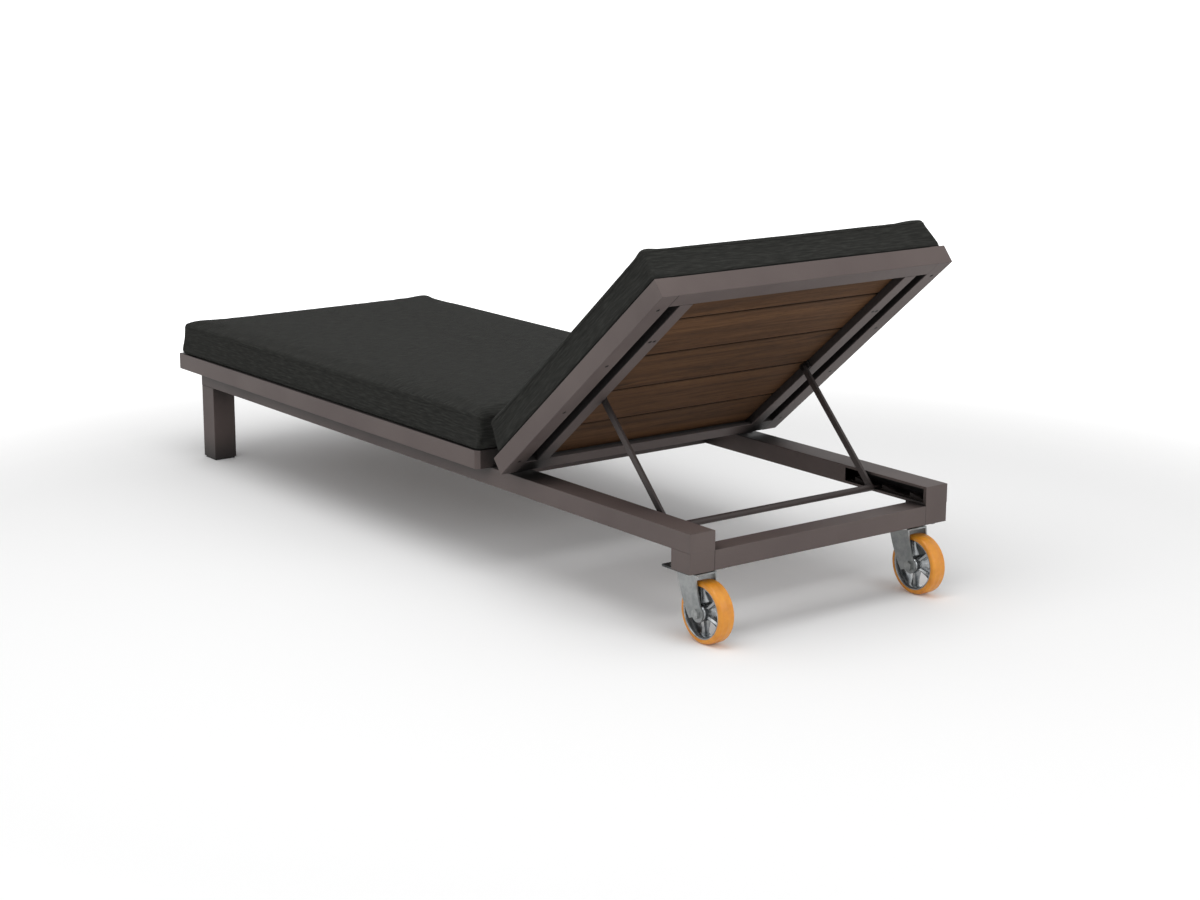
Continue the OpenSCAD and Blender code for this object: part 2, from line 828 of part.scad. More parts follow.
module fork() {
  color("#8d8f8e")
    on_caster()
      difference() {
        union() {
          bar_z([-fork_out, fork_front_shares[0].x * trail, crown_z],
            [fork_out, fork_rear_shares[2].x * trail, crown_z + fork_t], fork_t / 4);
          for (x = [-fork_out, fork_in])
            translate([x, 0, 0])
              rotate([90, 0, 90])
                linear_extrude(fork_t) fork_leg_outline();
        }
        translate([0, 0, crown_z - cut]) cylinder(r = kingpin_r + pin_clear, h = fork_t + 2 * cut);
        translate([0, trail, wheel_r]) cross_pin(axle_r + pin_clear, -fork_out - cut, fork_out + cut);
      }
}

module axle() {
  color("#9a9c9b")
    on_caster()
      translate([0, trail, wheel_r]) {
        cross_pin(axle_r, -fork_out, fork_out + nut_h + 1.5 * washer_gap);
        translate([-fork_out - axle_head_h, 0, 0]) rotate([0, 90, 0]) cylinder(r = nut_r, h = axle_head_h, $fn = 6);
      }
}

module axle_nut() {
  color("#a5a7a6")
    on_caster()
      translate([fork_out, trail, wheel_r])
        difference() {
          rotate([0, 90, 0]) cylinder(r = nut_r, h = nut_h, $fn = 6);
          cross_pin(axle_r, -cut, nut_h + cut);
        }
}

// One tapered spoke in the plane of the wheel
module spoke(a) {
  rotate(a)
    polygon([[0, -spoke_root_w / 2], [hub_r, -spoke_root_w / 2], [rim_r - rim_t / 2, -spoke_tip_w / 2],
      [rim_r - rim_t / 2, spoke_tip_w / 2], [hub_r, spoke_root_w / 2], [0, spoke_root_w / 2]]);
}

// Cast wheel centre with its rim, web spokes and bearing seats
module hub() {
  rim_w = wheel_w - 2 * soft_clear;
  hub_w = 2 * (fork_in - hub_gap);
  color("#b9bbbb")
    on_caster()
      translate([0, trail, wheel_r])
        rotate([0, 90, 0])
          difference() {
            union() {
              difference() {
                cylinder(r = rim_r, h = rim_w, center = true);
                cylinder(r = rim_r - rim_t, h = rim_w + 2 * cut, center = true);
              }
              cylinder(r = hub_r, h = hub_w, center = true);
              linear_extrude(web_t, center = true)
                for (i = [0:spokes_n - 1])
                  spoke(spoke_turn + 360 / spokes_n * i);
            }
            cylinder(r = bearing_r - bore_step, h = hub_w + 2 * cut, center = true);
            for (z = [hub_w / 2 - bearing_w, -hub_w / 2 - cut])
              translate([0, 0, z]) cylinder(r = bearing_r, h = bearing_w + cut);
          }
}

// Polyurethane tyre with rounded shoulders
module tyre() {
  half = wheel_w / 2;
  bore = rim_r + 2 * pin_clear;
  e = tyre_edge_r;
  color("#d9912f")
    on_caster()
      translate([0, trail, wheel_r])
        rotate([0, 90, 0])
          difference() {
            rotate_extrude() {
              translate([bore, -half]) square([wheel_r - e - bore, 2 * half]);
              translate([bore, -half + e]) square([wheel_r - bore, 2 * (half - e)]);
              for (z = [-half + e, half - e])
                translate([wheel_r - e, z]) circle(r = e);
            }
            cylinder(r = bore, h = wheel_w + 2 * cut, center = true);
          }
}

module bearings() {
  hub_w = 2 * (fork_in - hub_gap);
  color("#9a9c9b")
    on_caster()
      translate([0, trail, wheel_r])
        rotate([0, 90, 0])
          for (z = [hub_w / 2 - bearing_w, -hub_w / 2])
            translate([0, 0, z])
              difference() {
                cylinder(r = bearing_r, h = bearing_w);
                translate([0, 0, -cut]) cylinder(r = axle_r + pin_clear, h = bearing_w + 2 * cut);
              }
}

// One side and the corner after it, seen from above, with the side's middle drawn in
function pad_quarter(a, b, c, draw) = concat(
  [for (i = [0:pad_side_n - 1]) let (q = -1 + 2 * i / pad_side_n) [a - draw * (1 - q * q), q * (b - c)]],
  [for (i = [0:pad_corner_n - 1]) let (t = 90 * i / pad_corner_n) [a - c + c * cos(t), b - c + c * sin(t)]]);

// Whole outline from four such quarters
function pad_ring(a, b, c, draw) =
  let (p = pad_quarter(a, b, c, draw), q = pad_quarter(b, a, c, draw))
    concat(p, [for (v = q) [-v.y, v.x]], [for (v = p) [-v.x, -v.y]], [for (v = q) [v.y, -v.x]]);

// Inset, draw, height and share of the lean of each level of the sides, bottom first
function pad_levels(t, r, draw) = concat(
  [for (i = [0:pad_edge_n]) let (a = 90 * i / pad_edge_n)
    [r * (1 - sin(a)), draw * i / pad_edge_n / 2, r * (1 - cos(a)), 0]],
  [[0, draw, t / 2, 1 / 2]],
  [for (i = [0:pad_edge_n]) let (a = 90 * i / pad_edge_n)
    [r * (1 - cos(a)), draw * (1 - i / pad_edge_n / 2), t - r + r * sin(a), 1]]);

// Cushion with a crowned top, rounded edges and drawn-in, leaning sides.
// Rings of points follow its outline upwards, then close over the top.
module pad(w, l, t) {
  levels = pad_levels(t, pad_edge_r, pad_draw);
  rings = [for (v = levels)
    let (a = w / 2 - v[0] - v[3] * pad_lean, b = l / 2 - v[0] - v[3] * pad_end_lean)
      [for (q = pad_ring(a, b, pad_corner_r - v[0] / 2, v[1])) [q.x, q.y, v[2]]]];
  rim = rings[len(rings) - 1];
  crown = [for (f = pad_top_shares) [for (q = rim) [q.x * f, q.y * f, t + pad_crown * (1 - pow(f, 4))]]];
  n = len(rim);
  rows = concat(rings, crown);
  last = (len(rows) - 1) * n;
  under = len(rows) * n;
  over = under + 1;
  points = concat([for (row = rows) for (q = row) q], [[0, 0, 0], [0, 0, t + pad_crown]]);
  faces = concat(
    [for (k = [0:len(rows) - 2]) for (i = [0:n - 1]) [k * n + i, (k + 1) * n + i, (k + 1) * n + (i + 1) % n]],
    [for (k = [0:len(rows) - 2]) for (i = [0:n - 1]) [k * n + i, (k + 1) * n + (i + 1) % n, k * n + (i + 1) % n]],
    [for (i = [0:n - 1]) [under, i, (i + 1) % n]],
    [for (i = [0:n - 1]) [over, last + (i + 1) % n, last + i]]);
  polyhedron(points, faces);
}

module seat_cushion() {
  l = seat_l + seat_pad_over - pad_frame_in;
  color("#34352f")
    translate([0, seat_rear_y + seat_pad_over - l / 2, seat_top + soft_clear])
      pad(frame_w, l, seat_pad_t);
}

module back_cushion() {
  l = back_l - back_pad_in - pad_frame_in;
  color("#34352f")
    on_back()
      translate([0, back_pad_in + l / 2, frame_h + soft_clear])
        pad(frame_w, l, back_pad_t);
}

side(1) rail();  // rail_left
side(-1) rail();  // rail_right
side(1) rear_block();  // rear_block_left
side(-1) rear_block();  // rear_block_right
rear_crossbar();
mid_crossbar();
foot_crossbar();
side(1) leg();  // leg_left
side(-1) leg();  // leg_right
foot_glides();
side(1) seat_side();  // seat_side_left
side(-1) seat_side();  // seat_side_right
side(1) seat_inner();  // seat_inner_left
side(-1) seat_inner();  // seat_inner_right
seat_foot_member();
seat_rear_member();
seat_slats();
seat_cushion();
side(1) rack();  // rack_left
side(-1) rack();  // rack_right
side(1) hinge_bracket();  // hinge_bracket_left
side(-1) hinge_bracket();  // hinge_bracket_right
hinge_screws();
side(1) caster_plate();  // caster_plate_left
side(-1) caster_plate();  // caster_plate_right
caster_bolts();
side(1) back_side();  // back_side_left
side(-1) back_side();  // back_side_right
side(1) back_inner();  // back_inner_left
side(-1) back_inner();  // back_inner_right
back_top_member();
back_bottom_member();
back_slat(0);  // back_slat_1
back_slat(1);  // back_slat_2
back_slat(2);  // back_slat_3
back_slat(3);  // back_slat_4
back_slat(4);  // back_slat_5
back_cushion();
back_screws();
hinge_cheeks();
hinge_pins();
stay_bosses();
stay_pins();
side(1) stay_bar();  // stay_bar_left
side(-1) stay_bar();  // stay_bar_right
stay_rod();
side(1) fork();  // fork_left
side(-1) fork();  // fork_right
side(1) axle();  // axle_left
side(-1) axle();  // axle_right
side(1) axle_nut();  // axle_nut_left
side(-1) axle_nut();  // axle_nut_right
side(1) hub();  // hub_left
side(-1) hub();  // hub_right
side(1) tyre();  // tyre_left
side(-1) tyre();  // tyre_right
side(1) bearings();  // bearings_left
side(-1) bearings();  // bearings_right
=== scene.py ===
import json
import math
import bmesh
import bpy
from mathutils import Matrix, Vector
from mathutils.bvhtree import BVHTree


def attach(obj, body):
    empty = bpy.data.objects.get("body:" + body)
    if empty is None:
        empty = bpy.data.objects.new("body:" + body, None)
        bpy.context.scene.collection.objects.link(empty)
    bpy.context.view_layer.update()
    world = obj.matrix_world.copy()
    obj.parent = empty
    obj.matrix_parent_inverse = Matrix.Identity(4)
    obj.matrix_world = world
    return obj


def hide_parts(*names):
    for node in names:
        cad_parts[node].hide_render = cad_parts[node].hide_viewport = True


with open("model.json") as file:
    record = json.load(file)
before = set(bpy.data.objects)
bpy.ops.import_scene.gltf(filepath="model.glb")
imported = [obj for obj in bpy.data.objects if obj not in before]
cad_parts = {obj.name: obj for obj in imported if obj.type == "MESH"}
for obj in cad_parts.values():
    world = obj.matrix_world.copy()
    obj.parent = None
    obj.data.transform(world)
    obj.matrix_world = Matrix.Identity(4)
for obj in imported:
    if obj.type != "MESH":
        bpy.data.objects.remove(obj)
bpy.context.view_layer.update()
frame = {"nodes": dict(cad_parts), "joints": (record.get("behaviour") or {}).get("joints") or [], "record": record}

print("lounger: packed solids loaded")
scene = bpy.context.scene
scene.view_settings.view_transform = "Standard"

# The camera stands where the photograph's straight edges put it
cameraView = {
    "place": (3.0096, 4.2578, 1.3840),
    "heading": -126.920,
    "tilt": -13.235,
    "roll": 0.170,
    "lens": 69.40,
    "sensor": 36.0,
    "farClip": 60.0,
}


def placeCamera(view):
    data = bpy.data.cameras.new("photoCamera")
    data.sensor_fit = "HORIZONTAL"
    data.sensor_width = view["sensor"]
    data.lens = view["lens"]
    data.clip_end = view["farClip"]
    camera = bpy.data.objects.new("photoCamera", data)
    turn = Matrix.Rotation(math.radians(view["heading"] - 90), 4, "Z")
    turn = turn @ Matrix.Rotation(math.radians(90 + view["tilt"]), 4, "X")
    turn = turn @ Matrix.Rotation(math.radians(view["roll"]), 4, "Z")
    camera.matrix_world = Matrix.Translation(view["place"]) @ turn
    scene.collection.objects.link(camera)
    scene.camera = camera


placeCamera(cameraView)


# A screen colour, written as six hex digits, as the shader's linear colour
def colour(hexText):
    parts = [int(hexText[i:i + 2], 16) / 255 for i in (0, 2, 4)]
    linear = [c / 12.92 if c <= 0.04045 else ((c + 0.055) / 1.055) ** 2.4 for c in parts]
    return tuple(linear) + (1.0,)


nodeSamples = {"shade": 8, "roundedEdge": 4}


# A short way to write node trees: each call adds one node and wires its inputs
class Tree:
    def __init__(self, owner, shaderName="Principled BSDF"):
        owner.use_nodes = True
        self.owner = owner
        self.nodes = owner.node_tree.nodes
        self.links = owner.node_tree.links
        self.shader = self.nodes[shaderName]

    # An input has its Blender name, with _ for a space, or at0, at1 and so on for its place
    def add(self, kind, settings=None, **inputs):
        node = self.nodes.new("ShaderNode" + kind)
        for key, value in (settings or {}).items():
            setattr(node, key, value)
        self.feed(node, inputs)
        return node

    def feed(self, node, inputs):
        for key, value in inputs.items():
            place = int(key[2:]) if key.startswith("at") else key.replace("_", " ")
            if isinstance(value, bpy.types.NodeSocket):
                self.links.new(value, node.inputs[place])
            else:
                node.inputs[place].default_value = value

    def set(self, **inputs):
        self.feed(self.shader, inputs)

    def calculate(self, operation, first, second):
        return self.add("Math", {"operation": operation}, at0=first, at1=second).outputs[0]

    def mix(self, share, first, second, way="MIX"):
        settings = {"data_type": "RGBA", "blend_type": way}
        return self.add("Mix", settings, at0=share, at6=first, at7=second).outputs[2]

    # Grey stops are plain numbers and coloured ones are tuples
    def ramp(self, source, stops):
        node = self.add("ValToRGB", Fac=source)
        elements = node.color_ramp.elements
        while len(elements) < len(stops):
            elements.new(0.5)
        for element, (place, tone) in zip(elements, stops):
            element.position = place
            element.color = tone if isinstance(tone, tuple) else (tone, tone, tone, 1)
        return node.outputs["Color"]

    def spread(self, source, low, high):
        return self.add("MapRange", Value=source, To_Min=low, To_Max=high).outputs["Result"]

    def noise(self, place, **inputs):
        return self.add("TexNoise", Vector=place, **inputs).outputs["Fac"]

    def objectPlace(self, stretch=(1, 1, 1)):
        place = self.add("TexCoord").outputs["Object"]
        return self.add("Mapping", Vector=place, Scale=stretch).outputs["Vector"]

    # A softened bump also rounds the corners of the mesh by that radius
    def bump(self, height, strength, depth, soften=0.0):
        node = self.add("Bump", Height=height, Strength=strength, Distance=depth)
        if soften:
            edge = self.add("Bevel", {"samples": nodeSamples["roundedEdge"]}, Radius=soften)
            self.feed(node, {"Normal": edge.outputs["Normal"]})
        self.set(Normal=node.outputs["Normal"])

    # Painted shade: darken a tone where other surfaces stand close, in joints, slots and recesses
    def withPaintedShade(self, tone, shade):
        near = self.add("AmbientOcclusion", {"samples": nodeSamples["shade"]},
                        Distance=shade["reach"]).outputs["AO"]
        dark, middle, clear = shade["stops"]
        midTone = shade["darkest"] + (1 - shade["darkest"]) * shade["midShare"]
        share = self.ramp(near, ((dark, shade["darkest"]), (middle, midTone), (clear, 1.0)))
        return self.mix(1.0, tone, share, "MULTIPLY")

    # 1 for what looks straight at this, also through gloss or glass, and 0 for the light it casts
    def lookedAt(self):
        path = self.add("LightPath").outputs
        seen = self.calculate("MAXIMUM", path["Is Camera Ray"], path["Is Glossy Ray"])
        return self.calculate("MAXIMUM", seen, path["Is Transmission Ray"])


def newMaterial(name):
    return Tree(bpy.data.materials.new(name))


framePaint = {
    "tone": "574c49",
    "deep": "4e4341",
    "rubbed": "645854",
    "rubShare": 0.16,
    "roughness": (0.50, 0.62),
    "specular": 0.42,
    "cloud": {"Scale": 5.0, "Detail": 3.0},
    "cloudStops": ((0.35, 0.0), (0.68, 1.0)),
    "grainSize": 0.0011,
    "grainDetail": 2.0,
    "speckStops": ((0.40, 0.0), (0.75, 1.0)),
    "bump": {"strength": 0.18, "depth": 0.00012, "soften": 0.0009},
    # painted shade: the paint darkens near other surfaces, nearly to black deep in slots and recesses
    "shade": {"reach": 0.085, "darkest": 0.05, "midShare": 0.45, "stops": (0.45, 0.75, 0.95)},
}
# the stay and rack take a weaker painted shade
darkShade = dict(framePaint["shade"], darkest=0.3)
stayPaint = dict(framePaint, tone="3d3432", deep="322a29", rubbed="4c423f",
                 roughness=(0.43, 0.55), shade=darkShade)
rackPaint = dict(framePaint, tone="4a3f3b", deep="3a312e", rubbed="5d514c",
                 roughness=(0.55, 0.67), shade=darkShade)


# Matt powder coat: a fine orange peel, faint clouding and lighter specks
def powderCoat(name, paint):
    tree = newMaterial(name)
    place = tree.objectPlace()
    cloud = tree.noise(place, **paint["cloud"])
    peel = tree.noise(place, Scale=1 / paint["grainSize"], Detail=paint["grainDetail"])
    clouded = tree.ramp(cloud, paint["cloudStops"])
    tone = tree.mix(clouded, colour(paint["tone"]), colour(paint["deep"]))
    rub = tree.calculate("MULTIPLY", tree.ramp(peel, paint["speckStops"]), paint["rubShare"])
    tone = tree.mix(rub, tone, colour(paint["rubbed"]))
    # The base colour carries painted shade where other surfaces stand close
    tree.set(Base_Color=tree.withPaintedShade(tone, paint["shade"]),
             Roughness=tree.spread(cloud, *paint["roughness"]),
             Specular_IOR_Level=paint["specular"])
    tree.bump(peel, **paint["bump"])
    return tree.owner


timber = {
    "light": "66482e",
    "middle": "533924",
    "dark": "382618",
    "pore": "22160d",
    "roughness": (0.62, 0.86),
    "specular": 0.15,
    "plankShift": 37.0,
    "plankValue": (0.90, 1.10),
    "figure": {"stretch": (1.7, 34, 34), "Detail": 7.0, "Roughness": 0.62, "Distortion": 0.7},
    "figureStops": (0.30, 0.50, 0.72),
    "streak": {"stretch": (7, 230, 230), "Detail": 5.0, "Roughness": 0.6, "Distortion": 0.3},
    "streakStops": ((0.42, 0.0), (0.70, 0.55)),
    "pores": {"stretch": (38, 900, 900), "Detail": 2.0, "Roughness": 0.5},
    "poreStops": ((0.56, 0.0), (0.70, 0.7)),
    "bump": {"strength": 0.35, "depth": 0.0003, "soften": 0.0015},
    # painted shade of the joints: each slat darkens within this reach of its own edges
    "jointShadeReach": 0.0044,
    "jointShadeStops": ((0.55, 0.15), (0.95, 1.0)),
    # painted shade: the wood darkens within a few millimetres of the frame's walls and other pieces
    "shade": {"reach": 0.008, "darkest": 0.08, "midShare": 0.45, "stops": (0.12, 0.5, 0.82)},
}


# Dark stained timber with its grain along X, and every slat cut from another plank
def slatTimber(wood):
    tree = newMaterial("slatTimber")
    plank = tree.add("NewGeometry").outputs["Random Per Island"]
    shift = tree.calculate("MULTIPLY", plank, wood["plankShift"])

    def alongGrain(stretch, **inputs):
        return tree.add("TexNoise", {"noise_dimensions": "4D"}, Vector=tree.objectPlace(stretch),
                        W=shift, Scale=1.0, **inputs).outputs["Fac"]

    figure, streak, pores = (alongGrain(**wood[part]) for part in ("figure", "streak", "pores"))
    tones = [colour(wood[part]) for part in ("dark", "middle", "light")]
    grain = tree.ramp(figure, tuple(zip(wood["figureStops"], tones)))
    grain = tree.mix(tree.ramp(streak, wood["streakStops"]), grain, colour(wood["dark"]))
    grain = tree.mix(tree.ramp(pores, wood["poreStops"]), grain, colour(wood["pore"]))
    value = tree.spread(plank, *wood["plankValue"])
    tone = tree.add("HueSaturation", Color=grain, Value=value).outputs["Color"]
    # Painted shade of the joints between slats: rays cast inside each slat find its edges, and the tone darkens
    # there
    inner = tree.add("AmbientOcclusion", {"samples": nodeSamples["shade"], "inside": True},
                     Distance=wood["jointShadeReach"]).outputs["AO"]
    tone = tree.mix(1.0, tone, tree.ramp(inner, wood["jointShadeStops"]), "MULTIPLY")
    # The base colour carries painted shade where other surfaces stand close
    tree.set(Base_Color=tree.withPaintedShade(tone, wood["shade"]),
             Roughness=tree.spread(streak, *wood["roughness"]),
             Specular_IOR_Level=wood["specular"])
    tree.bump(tree.calculate("SUBTRACT", streak, pores), **wood["bump"])
    return tree.owner


cushionCloth = {
    "tone": "292927",
    "light": "363734",
    "deep": "1f201e",
    "slub": "3e3f3c",
    "roughness": 0.9,
    "specular": 0.10,
    "dashSize": (0.034, 0.0036),
    "dashes": {"Scale": 1.0, "Detail": 2.5, "Roughness": 0.55},
    "dashStops": (0.29, 0.50, 0.73),
    "dashRise": 0.8,
    "slubStretch": (28, 520, 1),
    "slubs": {"Scale": 1.0, "Detail": 2.0},
    "slubStops": ((0.60, 0.0), (0.78, 0.5)),
    "fade": {"Scale": 2.2, "Detail": 3.0},
    "fadeStops": ((0.30, 0.0), (0.75, 0.16)),
    "yarn": 0.0011,
    "waveUnit": 0.314,  # the length of one wave at scale 1
    "waves": {"Distortion": 1.2, "Detail": 1.0},
    "ribShare": 0.6,
    "threadShare": 0.4,
    "weaveStops": ((0.15, 0.55), (0.7, 1.0)),
    "weaveShare": 0.35,
    "bump": {"strength": 0.6, "depth": 0.0005},
}


# Heathered weave: short dashes of lighter and darker yarn lying one way, slubs and fine threads
def wovenCloth(cloth):
    tree = newMaterial("wovenCloth")
    uv = tree.add("UVMap").outputs["UV"]

    def lying(stretch):
        return tree.add("Mapping", Vector=uv, Scale=stretch).outputs["Vector"]

    def yarnWaves(direction, share):
        waves = tree.add("TexWave", {"bands_direction": direction}, Vector=uv,
                         Scale=cloth["waveUnit"] / cloth["yarn"], **cloth["waves"])
        return tree.calculate("MULTIPLY", waves.outputs["Fac"], share)

    dashLength, dashHeight = cloth["dashSize"]
    dashes = tree.noise(lying((1 / dashLength, 1 / dashHeight, 1)), **cloth["dashes"])
    slubs = tree.noise(lying(cloth["slubStretch"]), **cloth["slubs"])
    fade = tree.noise(tree.objectPlace(), **cloth["fade"])
    tones = [colour(cloth[part]) for part in ("deep", "tone", "light")]
    tone = tree.ramp(dashes, tuple(zip(cloth["dashStops"], tones)))
    tone = tree.mix(tree.ramp(slubs, cloth["slubStops"]), tone, colour(cloth["slub"]))
    tone = tree.mix(tree.ramp(fade, cloth["fadeStops"]), tone, colour(cloth["light"]))
    weave = tree.calculate("ADD", yarnWaves("Y", cloth["ribShare"]),
                           yarnWaves("X", cloth["threadShare"]))
    between = tree.ramp(weave, cloth["weaveStops"])
    tree.set(Base_Color=tree.mix(cloth["weaveShare"], tone, between, "MULTIPLY"),
             Roughness=cloth["roughness"], Specular_IOR_Level=cloth["specular"])
    rise = tree.calculate("MULTIPLY", dashes, cloth["dashRise"])
    tree.bump(tree.calculate("ADD", weave, rise), **cloth["bump"])
    return tree.owner


wheelTyre = {
    "tone": "e0952c",
    "deep": "c67a1c",
    "scuff": "b9812f",
    "roughness": (0.29, 0.48),
    "cloud": {"Scale": 42.0, "Detail": 4.0},
    "cloudStops": ((0.35, 0.0), (0.7, 0.8)),
    "dust": {"Scale": 900.0, "Detail": 3.0},
    "dustStops": ((0.6, 0.0), (0.8, 0.45)),
    "bump": {"strength": 0.12, "depth": 0.0002, "soften": 0.0006},
    "depth": {"Subsurface_Weight": 0.12, "Subsurface_Scale": 0.004},
    "wax": {"Coat_Weight": 0.08, "Coat_Roughness": 0.3},
}


# Cast polyurethane: waxy, slightly translucent and dusty
def castTyre(tyre):
    tree = newMaterial("castTyre")
    place = tree.objectPlace()
    cloud = tree.noise(place, **tyre["cloud"])
    dust = tree.noise(place, **tyre["dust"])
    clouded = tree.ramp(cloud, tyre["cloudStops"])
    tone = tree.mix(clouded, colour(tyre["tone"]), colour(tyre["deep"]))
    tone = tree.mix(tree.ramp(dust, tyre["dustStops"]), tone, colour(tyre["scuff"]))
    tree.set(Base_Color=tone, Roughness=tree.spread(cloud, *tyre["roughness"]),
             **tyre["depth"], **tyre["wax"])
    tree.bump(dust, **tyre["bump"])
    return tree.owner


metalFinishes = {
    "polishedCasting": {"tone": "b2b4b5", "deep": "7a7e81", "roughness": (0.14, 0.32),
                        "grain": 260, "bump": 0.10},
    "satinZinc": {"tone": "9ea0a0", "deep": "8a8d8d", "roughness": (0.32, 0.50),
                  "grain": 520, "bump": 0.08},
    # the caster plate's zinc is toned dark as a painted reflection of the dark undersides above it
    "zincWithPaintedReflection": {"tone": "5c5e5e", "deep": "3d3f40", "roughness": (0.40, 0.58),
                 "grain": 420, "bump": 0.10},
    "turnedSteel": {"tone": "b4b6b5", "deep": "8c8f8e", "roughness": (0.22, 0.40),
                    "grain": 900, "bump": 0.06},
    "blackenedSteel": {"tone": "34302e", "deep": "1f1c1b", "roughness": (0.44, 0.62),
                       "grain": 600, "bump": 0.08},
}
metalSurface = {
    "cloud": {"Scale": 60.0, "Detail": 5.0, "Roughness": 0.6},
    "cloudStops": ((0.38, 0.0), (0.66, 1.0)),
    "grainDetail": 3.0,
    "metallic": 0.95,
    "bump": {"depth": 0.0002, "soften": 0.0007},
}


# Bare or plated metal, with clouding in its colour and polish and a fine surface grain
def plainMetal(name):
    metal = metalFinishes[name]
    tree = newMaterial(name)
    place = tree.objectPlace()
    cloud = tree.noise(place, **metalSurface["cloud"])
    grain = tree.noise(place, Scale=metal["grain"], Detail=metalSurface["grainDetail"])
    clouded = tree.ramp(cloud, metalSurface["cloudStops"])
    tree.set(Base_Color=tree.mix(clouded, colour(metal["tone"]), colour(metal["deep"])),
             Roughness=tree.spread(cloud, *metal["roughness"]),
             Metallic=metalSurface["metallic"])
    tree.bump(grain, metal["bump"], **metalSurface["bump"])
    return tree.owner


footGlide = {
    "tone": "1b1a1a",
    "light": "2b2928",
    "roughness": 0.6,
    "grain": {"Scale": 1400.0, "Detail": 2.0},
    "grainStops": ((0.4, 0.0), (0.7, 1.0)),
    "bump": {"strength": 0.2, "depth": 0.0002, "soften": 0.0008},
}


# Moulded glides under the feet
def mouldedPlastic(plastic):
    tree = newMaterial("mouldedPlastic")
    grain = tree.noise(tree.objectPlace(), **plastic["grain"])
    speckled = tree.ramp(grain, plastic["grainStops"])
    tree.set(Base_Color=tree.mix(speckled, colour(plastic["tone"]), colour(plastic["light"])),
             Roughness=plastic["roughness"])
    tree.bump(grain, **plastic["bump"])
    return tree.owner


finishes = {
    "frame_paint": powderCoat("paintedTubes", framePaint),
    "stay_paint": powderCoat("paintedStay", stayPaint),
    "rack": powderCoat("paintedRack", rackPaint),
    "timber": slatTimber(timber),
    "cushion_fabric": wovenCloth(cushionCloth),
    "tyre": castTyre(wheelTyre),
    "wheel_centre": plainMetal("polishedCasting"),
    "fork_steel": plainMetal("satinZinc"),
    "caster_plate": plainMetal("zincWithPaintedReflection"),
    "bright_steel": plainMetal("turnedSteel"),
    "dark_screws": plainMetal("blackenedSteel"),
    "glide": mouldedPlastic(footGlide),
}
print("lounger: finishes made")

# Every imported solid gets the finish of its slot
slotOfNode = {part["node"]: part["material_slot"] for part in frame["record"]["subparts"]}
for nodeName, solid in frame["nodes"].items():
    solid.data.materials.clear()
    solid.data.materials.append(finishes[slotOfNode[nodeName]])


def addPiece(name, mesh, slotName):
    piece = bpy.data.objects.new(name, mesh)
    scene.collection.objects.link(piece)
    mesh.materials.clear()
    mesh.materials.append(finishes[slotName])
    return piece


def applyModifiers(piece):
    bpy.context.view_layer.update()
    shown = piece.evaluated_get(bpy.context.evaluated_depsgraph_get())
    made = bpy.data.meshes.new_from_object(shown)
    piece.modifiers.clear()
    piece.data = made


def smoothFaces(mesh):
    for face in mesh.polygons:
        face.use_smooth = True


# Join two rings of points with a band of faces
def bridge(made, first, second):
    count = len(first)
    for k in range(count):
        after = (k + 1) % count
        made.faces.new((first[k], first[after], second[after], second[k]))


# Join a closed row of rings and turn the faces outwards
def closeRings(made, rings):
    for i, ring in enumerate(rings):
        bridge(made, ring, rings[(i + 1) % len(rings)])
    bmesh.ops.recalc_face_normals(made, faces=made.faces)


def toMesh(made, name):
    mesh = bpy.data.meshes.new(name)
    made.to_mesh(mesh)
    made.free()
    smoothFaces(mesh)
    return mesh


jointPlace = {joint["name"]: Vector(joint["pos_m"]) for joint in frame["joints"]}
jointRange = {joint["name"]: joint.get("range_deg") for joint in frame["joints"]}

# The back's own frame: X across, Y from its lower end upwards, Z out of its upper face.
# The hinge stands this far in from the lower end and this far up from the underside
backHinge = {"in": 0.0010, "up": 0.0318}
restAngle = math.radians(-jointRange["back_hinge"][0])
backFrame = Matrix.Translation(jointPlace["back_hinge"]) @ Matrix.Rotation(restAngle, 4, "X")
backFrame = backFrame @ Matrix.Translation((0, -backHinge["in"], -backHinge["up"]))

cushions = {
    "seatCushion": {
        "node": "seat_cushion",
        "body": "base",
        "frame": Matrix.Identity(4),
        "voxel": 0.0078,
        "shrink": 0.0012,
        "pressure": 3.0,
        "cap": 0.0065,
        "fill": 0.9,
    },
    "backCushion": {
        "node": "back_cushion",
        "body": "back",
        "frame": backFrame,
        "voxel": 0.0066,
        "shrink": 0.0012,
        "pressure": 3.0,
        "cap": 0.0065,
        "fill": 0.9,
    },
}
padding = {
    "heldHeight": 0.004,
    "relaxFactor": 0.5,
    "relaxTurns": 1,
    "frames": 20,
    "cloth": {
        "quality": 5,
        "mass": 0.3,
        "tension_stiffness": 15,
        "compression_stiffness": 15,
        "bending_stiffness": 4,
    },
}
seam = {
    "radius": 0.0008,
    "sides": 8,
    "sink": 0.0004,
    "step": 0.012,
    "corner": 0.012,
    "cornerTurn": 15,  # degrees between the points of a corner
    "underTop": 0.020,
    "overBase": 0.013,
    "inset": 0.012,
    "rayLength": 0.08,
    "softenings": 3,
}


def meshBox(mesh):
    corners = [vertex.co for vertex in mesh.vertices]
    low = Vector([min(c[i] for c in corners) for i in range(3)])
    high = Vector([max(c[i] for c in corners) for i in range(3)])
    return low, high


# The pad starts a little smaller than its solid, and stands on the same underside
def shrinkPad(mesh, low, high, amount):
    middle, half = (low + high) / 2, (high - low) / 2
    for vertex in mesh.vertices:
        vertex.co.x = middle.x + (vertex.co.x - middle.x) * (1 - amount / half.x)
        vertex.co.y = middle.y + (vertex.co.y - middle.y) * (1 - amount / half.y)
        vertex.co.z = low.z + (vertex.co.z - low.z) * (1 - amount / half.z / 2)


